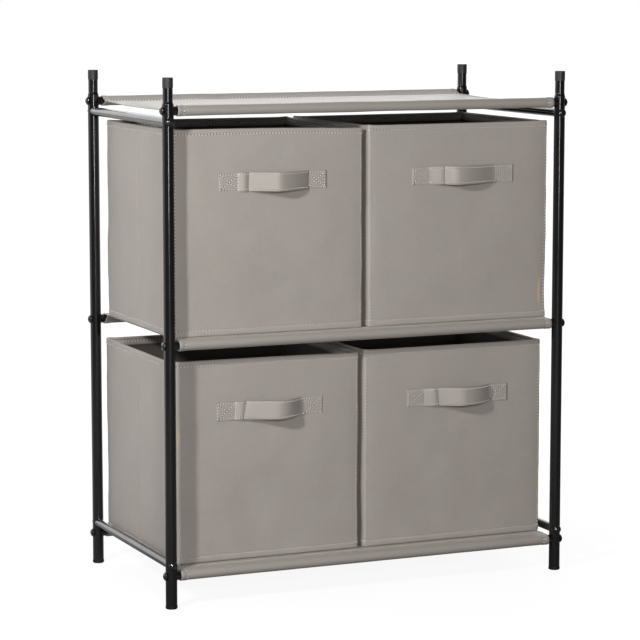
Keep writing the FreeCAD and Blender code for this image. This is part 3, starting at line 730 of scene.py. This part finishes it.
bins = {}
for row in ("upper", "lower"):
    for side in SIDES:
        name = "%s_%s" % (row, side)
        low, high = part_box("bin_cover_" + name)
        half_x, half_y, height = (high.x - low.x) / 2, (high.y - low.y) / 2, high.z - low.z
        base = Vector(((low.x + high.x) / 2, (low.y + high.y) / 2, low.z))
        plan = rounded_plan(half_x, half_y, CORNER)
        columns, rim = len(plan), WALL / 2
        # Share of the plan, inset and height, from the middle of the bottom to inside the rim.
        profile = [(0.3, 0.0, 0.0), (0.8, 0.0, 0.0), (1.0, 2.0 * MM, 0.0),
                   (1.0, 0.6 * MM, 0.6 * MM), (1.0, 0.0, 2.0 * MM)]
        profile += [(1.0, 0.0, z) for z in wall_levels(height, rim)]
        for step in range(1, RIM_STEPS):
            angle = math.pi * step / RIM_STEPS
            profile.append((1.0, rim - rim * math.cos(angle), height - rim + rim * math.sin(angle)))
        profile += [(1.0, WALL, height - rim), (1.0, WALL, height - rim - RIM_RETURN)]
        rows = []
        for spread, inset, z in profile:
            ring = []
            for point, outward in plan:
                grip = 0.0 if z < MM else 1.0 - smooth(inset, WALL * 0.3, WALL)
                swell = cover_swell(point, outward, min(z, height - rim), half_x, half_y, height,
                                    SEEDS[name]) * grip
                out = outward * (swell - inset)
                drop = slump_at(name, point, z, half_x, half_y, height)
                ring.append(base + Vector((point.x * spread + out.x, point.y * spread + out.y,
                                           z - drop)))
            rows.append(ring)
        piece = cloth_skin("bin_cover_sewn_" + name, rows, around=True, floors=[(0, -1)])
        heights = [z for _, _, z in profile]
        sewn = [heights.index(z) for z in (STITCH_CLIMB, height - STITCH_DROP)]
        lines = [seam_line(piece, [i * columns + j % columns for j in range(columns + 1)],
                           STITCH_LIFT) for i in sewn]
        side_columns = columns // 4
        for turn, step in CORNER_SEAMS:
            j = turn * side_columns - CORNER_STEPS - 1 + step
            numbers = [i * columns + j for i in range(sewn[0] + 2, sewn[1] - 1)]
            lines.append(seam_line(piece, numbers, STITCH_LIFT))
        bins[name] = {"cover": piece, "lines": lines, "base": base, "half_x": half_x,
                      "half_y": half_y, "height": height}
        piece.data.materials.append(cover_cloth.material)
        thicken(piece, COVER_THICK, -1.0)
        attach(piece, "bin_" + name)
        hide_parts("bin_cover_" + name)

# Bin linings.  Dark non-woven cloth with a band of the cover's cloth round its top, sewn to the
# turned-in rim.  It hangs inside the boards, slightly rumpled, down to a bottom that the loose
# base board presses flat.
LINING_BROWN = (0.1, 0.087, 0.08)
TOP_BAND = 12.0 * MM
BAND_STEP = 0.9 * MM
LINING_THICK = 1.0 * MM
LINING_RUMPLE = 1.0 * MM
LINING_SPREAD = 38 * MM
lining_cloth = cloth_finish("lining_cloth", LINING_BROWN, 1.6 * MM, 0.16)
for name, parts in bins.items():
    height, base = parts["height"], parts["base"]
    inner_x, inner_y = parts["half_x"] - WALL, parts["half_y"] - WALL
    floor_level = COVER_THICK + LINING_THICK
    plan = rounded_plan(inner_x, inner_y, CORNER - WALL)
    columns, top = len(plan), height - WALL / 2
    profile = [(1.3 * MM, top - 0.8 * MM), (1.2 * MM, top - 1.8 * MM), (0.3 * MM, top - 2.8 * MM),
               (0.0, top - 3.6 * MM)]
    levels = sorted(wall_levels(height, WALL / 2) + [height - TOP_BAND - HEM_EDGE], reverse=True)
    profile += [(0.0, z) for z in levels if floor_level + 2 * MM < z < top - 4 * MM]
    profile += [(-0.5 * MM, floor_level + 0.6 * MM), (-1.2 * MM, floor_level)]
    rows = []
    for outset, z in profile:
        ring = []
        for point, outward in plan:
            spot = Vector((point.x, point.y, z))
            rumple = noise.noise(spot / LINING_SPREAD + Vector((SEEDS[name], 5, 0))) + 0.4
            free = smooth(z, 4 * MM, 30 * MM) * smooth(height - z, 6 * MM, 30 * MM)
            inward = LINING_RUMPLE * max(rumple, 0.0) * free
            inward += BAND_STEP * smooth(z - height + TOP_BAND, -HEM_EDGE, 0.0)
            inward -= STITCH_BITE * dent(z - height + STITCH_DROP, STITCH_PULL)
            out = outward * (outset - inward)
            drop = slump_at(name, point, z, inner_x, inner_y, height)
            ring.append(base + Vector((point.x + out.x, point.y + out.y, z - drop)))
        rows.append(ring)
    piece = cloth_skin("bin_lining_sewn_" + name, rows, around=True, floors=[(len(rows) - 1, 1)])
    heights = [z for _, z in profile]
    seam = heights.index(height - STITCH_DROP)
    numbers = [seam * columns + j % columns for j in range(columns + 1)]
    parts["lines"].append(seam_line(piece, numbers, STITCH_LIFT))
    piece.data.materials.append(lining_cloth.material)
    piece.data.materials.append(cover_cloth.material)
    band = [z for z in heights if z > height - TOP_BAND - 0.1 * MM]
    for face in piece.data.polygons[:(len(band) - 1) * columns]:
        face.material_index = 1
    thicken(piece, LINING_THICK, -1.0)
    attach(piece, "bin_" + name)
    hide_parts("bin_lining_" + name)
    wall_height, floor_area = profile[0][1] - floor_level, 4 * inner_x * inner_y
    2 * (inner_x + wall_height)
    2 * (inner_y + wall_height)
    floor_area + 4 * (inner_x + inner_y) * wall_height
    "bin_wall_boards_" + name

# Boards.  Grey-brown pressed board in the walls, out of sight, and a loose base board covered in
# the lining's cloth.  Both keep their CAD shape.
BOARD_BROWNS = ((0.36, 0.28, 0.2, 1.0), (0.5, 0.41, 0.3, 1.0))
board_stock = Finish("pressed_board", {"Specular IOR Level": 0.2})
board_fibres = board_stock.blotches(420.0, 4.0)
board_stock.coat({
    "Base Color": board_stock.blend(board_fibres, *BOARD_BROWNS),
    "Roughness": board_fibres * 0.1 + 0.82,
}, board_fibres, 0.0001, 0.5)
board_cover = Finish("board_cover", {"Sheen Weight": 0.12})
board_nap = board_cover.blotches(1100.0, 3.0)
board_cover.coat({
    "Base Color": board_cover.blend(board_nap, shade(LINING_BROWN, 0.85), shade(LINING_BROWN, 1.2)),
    "Roughness": board_nap * 0.12 + 0.6,
}, board_nap, 0.0001, 0.6)
for name in bins:
    refinish("bin_wall_boards_" + name, board_stock)
    refinish("bin_base_board_" + name, board_cover)

# Pull straps.  A strip of the cover cloth folded into a stiff flat band and stitched along both
# edges.  Each end is sewn down with a crossed box; beside the left one the band keeps the crease
# from its packing, then bows out for the fingers and comes back steeply.
STRAP_THICK = 2.0 * MM
STRAP_BOX = 28.0 * MM
STRAP_HEM = 2.6 * MM
STRAP_PITCH = 4.0 * MM
STRAP_STITCH = 2.3 * MM
STRAP_THREAD = 1.6 * MM
STRAP_STEP = 1.6 * MM
STRAP_COLUMNS = 22
EDGE_BITE = 0.25 * MM
LEAN_REACH = 8 * MM
THREAD_SINK = 0.05 * MM
# Places of the flat ends to both sides of the bow, in millimetres.
STRAP_ENDS = (54, 66, 80, 94)
# Places along each band from its middle, with its height off the cover's face, in millimetres.
STRAP_FORMS = {
    "upper_left": ((-51.5, 0.4), (-48.5, 1.9), (-45, 3.1), (-42, 3.1), (-38.8, 1.8), (-36.3, 1.1),
                   (-33.5, 2.3), (-26, 6.3), (-14, 12.4), (-4, 17.7), (-1, 19.5), (2.5, 20.3),
                   (7.5, 19.8), (14, 18.1), (23, 15), (31, 11.8), (39, 8), (46.5, 4), (51, 1.3)),
    "upper_right": ((-51, 0.4), (-48, 1.1), (-42, 3.2), (-36, 5.0), (-33, 5.0), (-30, 4.5),
                    (-27, 7.8), (-23.5, 13), (-20, 16.1), (-15, 17.5), (-9, 17.5), (-2, 16.7),
                    (5, 15.3), (13, 13.2), (22, 10.5), (31, 7.2), (39, 4.1), (45, 1.9), (49, 0.8)),
    "lower_left": ((-51.5, 0.4), (-48.5, 1.7), (-44, 2.8), (-41, 2.4), (-38.5, 1.6), (-35.5, 2.6),
                   (-28, 5.9), (-14, 12), (-2, 17.4), (5, 19.6), (10, 20.2), (16, 19.5),
                   (22, 17.6), (28, 14.5), (33.5, 10.7), (38.5, 6.6), (43, 2.7), (46.5, 0.9)),
    "lower_right": ((-51, 0.4), (-48, 1.4), (-43, 3.4), (-38, 4.8), (-34.5, 4.4), (-31, 3.8),
                    (-26, 6.6), (-16, 12), (-8, 16.2), (-2, 18.8), (3, 19.8), (8, 19.6),
                    (16, 18.4), (25, 16), (35, 12), (43, 6.8), (48.5, 1.9)),
}
# How far the crease beside the left box leans to the right at its top, and its place.
STRAP_CREASE = {"upper_left": (0.4, -36.0), "upper_right": (-0.3, -31.0),
                "lower_left": (2.4, -38.0), "lower_right": (-1.8, -32.0)}
strap_cloth = cloth_finish("strap_cloth", CLOTH_GREIGE, 1.4 * MM, 0.07)


def strap_path(bow):
    """Middle line of the band's back face as (x, height) pairs about every millimetre, smooth
    through the bow's places between two flat ends."""
    left_end = tuple((-x, 0) for x in reversed(STRAP_ENDS))
    right_end = tuple((x, 0) for x in STRAP_ENDS)
    form = [Vector((x * MM, height * MM)) for x, height in left_end + bow + right_end]
    path = []
    for before, start, finish, after in zip(form, form[1:], form[2:], form[3:]):
        pieces = max(2, round((finish - start).length / STRAP_STEP))
        for n in range(pieces):
            t = n / pieces
            path.append(0.5 * (start * 2 + (finish - before) * t
                               + (before * 2 - start * 5 + finish * 4 - after) * t ** 2
                               + (start * 3 - before - finish * 3 + after) * t ** 3))
    return [point for point in path if point.y > -0.5 * MM] + [form[-2]]


def crossed_box(middle, half_length, half_width):
    """The box and the cross of stitches on one end, as lines of (x, z) points."""
    left, right = middle - half_length, middle + half_length
    corners = [(left, -half_width), (right, -half_width), (right, half_width), (left, half_width)]
    return [corners + corners[:1], [corners[0], corners[2]], [corners[1], corners[3]]]


def off_line(x, z, line):
    """Distance of a place on the band from a line of stitches."""
    place, nearest = Vector((x, z)), 1.0
    for a, b in zip(line, line[1:]):
        a, b = Vector(a), Vector(b)
        share = min(max((place - a).dot(b - a) / (b - a).length_squared, 0.0), 1.0)
        nearest = min(nearest, (place - a - (b - a) * share).length)
    return nearest


for name, parts in bins.items():
    low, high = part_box("pull_strap_" + name)
    half_width = (high.z - low.z) / 2
    origin = Vector(((low.x + high.x) / 2, high.y, (low.z + high.z) / 2))
    path = strap_path(STRAP_FORMS[name])
    lean, crease = (value * MM for value in STRAP_CREASE[name])
    half_length = path[-1].x
    box_middle = half_length - STRAP_BOX / 2 - 1.0 * MM
    boxes = [line for way in (-1, 1) for line in crossed_box(way * box_middle, STRAP_BOX / 2 - MM,
                                                             half_width - STRAP_HEM)]
    across = [half_width * (2 * n / STRAP_COLUMNS - 1) for n in range(STRAP_COLUMNS + 1)]
    rows, edge_seams = [], ([], [])
    for number, place in enumerate(path):
        ahead = path[min(number + 1, len(path) - 1)] - path[max(number - 1, 0)]
        out = Vector((-ahead.y, ahead.x)).normalized()
        bowed = smooth(place.y, 0.2 * MM, 1.0 * MM)
        shear = lean / half_width * dent(place.x - crease, LEAN_REACH)
        ring = []
        for way in (1, -1):
            for z in across[::way]:
                round_off = max(1 - (abs(z) / half_width) ** 10, 0.0) ** 0.5
                push = STRAP_THICK / 2 * (1 + way * round_off)
                if way > 0:
                    sewn = max(dent(off_line(place.x, z, line), STITCH_PULL) for line in boxes)
                    hem = dent(abs(z) - half_width + STRAP_HEM, STITCH_PULL)
                    push -= STITCH_BITE * sewn * (1 - bowed) + EDGE_BITE * hem * bowed
                spot = place + out * push
                ring.append(origin + Vector((spot.x + shear * z, -spot.y, z)))
        rows.append(ring)
        if abs(place.x) < half_length - STRAP_BOX - 1.5 * MM:
            face = place + out * (STRAP_THICK - THREAD_SINK)
            for seam, way in zip(edge_seams, (-1, 1)):
                z = way * (half_width - STRAP_HEM)
                seam.append(origin + Vector((face.x + shear * z, -face.y, z)))
    piece = cloth_skin("pull_strap_sewn_" + name, rows, around=True,
                       floors=[(0, -1), (len(rows) - 1, 1)])
    piece.data.materials.append(strap_cloth.material)
    face = origin.y - STRAP_THICK + STITCH_LIFT
    lines = [[Vector((origin.x + x, face, origin.z + z)) for x, z in line] for line in boxes]
    strap_stitches = sew("strap_stitches_" + name, lines + list(edge_seams), STRAP_PITCH,
                         STRAP_STITCH, STRAP_THREAD)
    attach(strap_stitches, "bin_" + name)
    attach(piece, "bin_" + name)
    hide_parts("pull_strap_" + name)
    length = sum((b - a).length for a, b in zip(path, path[1:]))
    stitches = sew("bin_stitches_" + name, parts["lines"])
    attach(stitches, "bin_" + name)
    rim = parts["height"] + WALL + RIM_RETURN
    around = 4 * (parts["half_x"] + parts["half_y"])
    2 * (parts["half_x"] + rim)
    2 * (parts["half_y"] + rim)
    4 * parts["half_x"] * parts["half_y"] + around * rim
    "bin_wall_boards_" + name
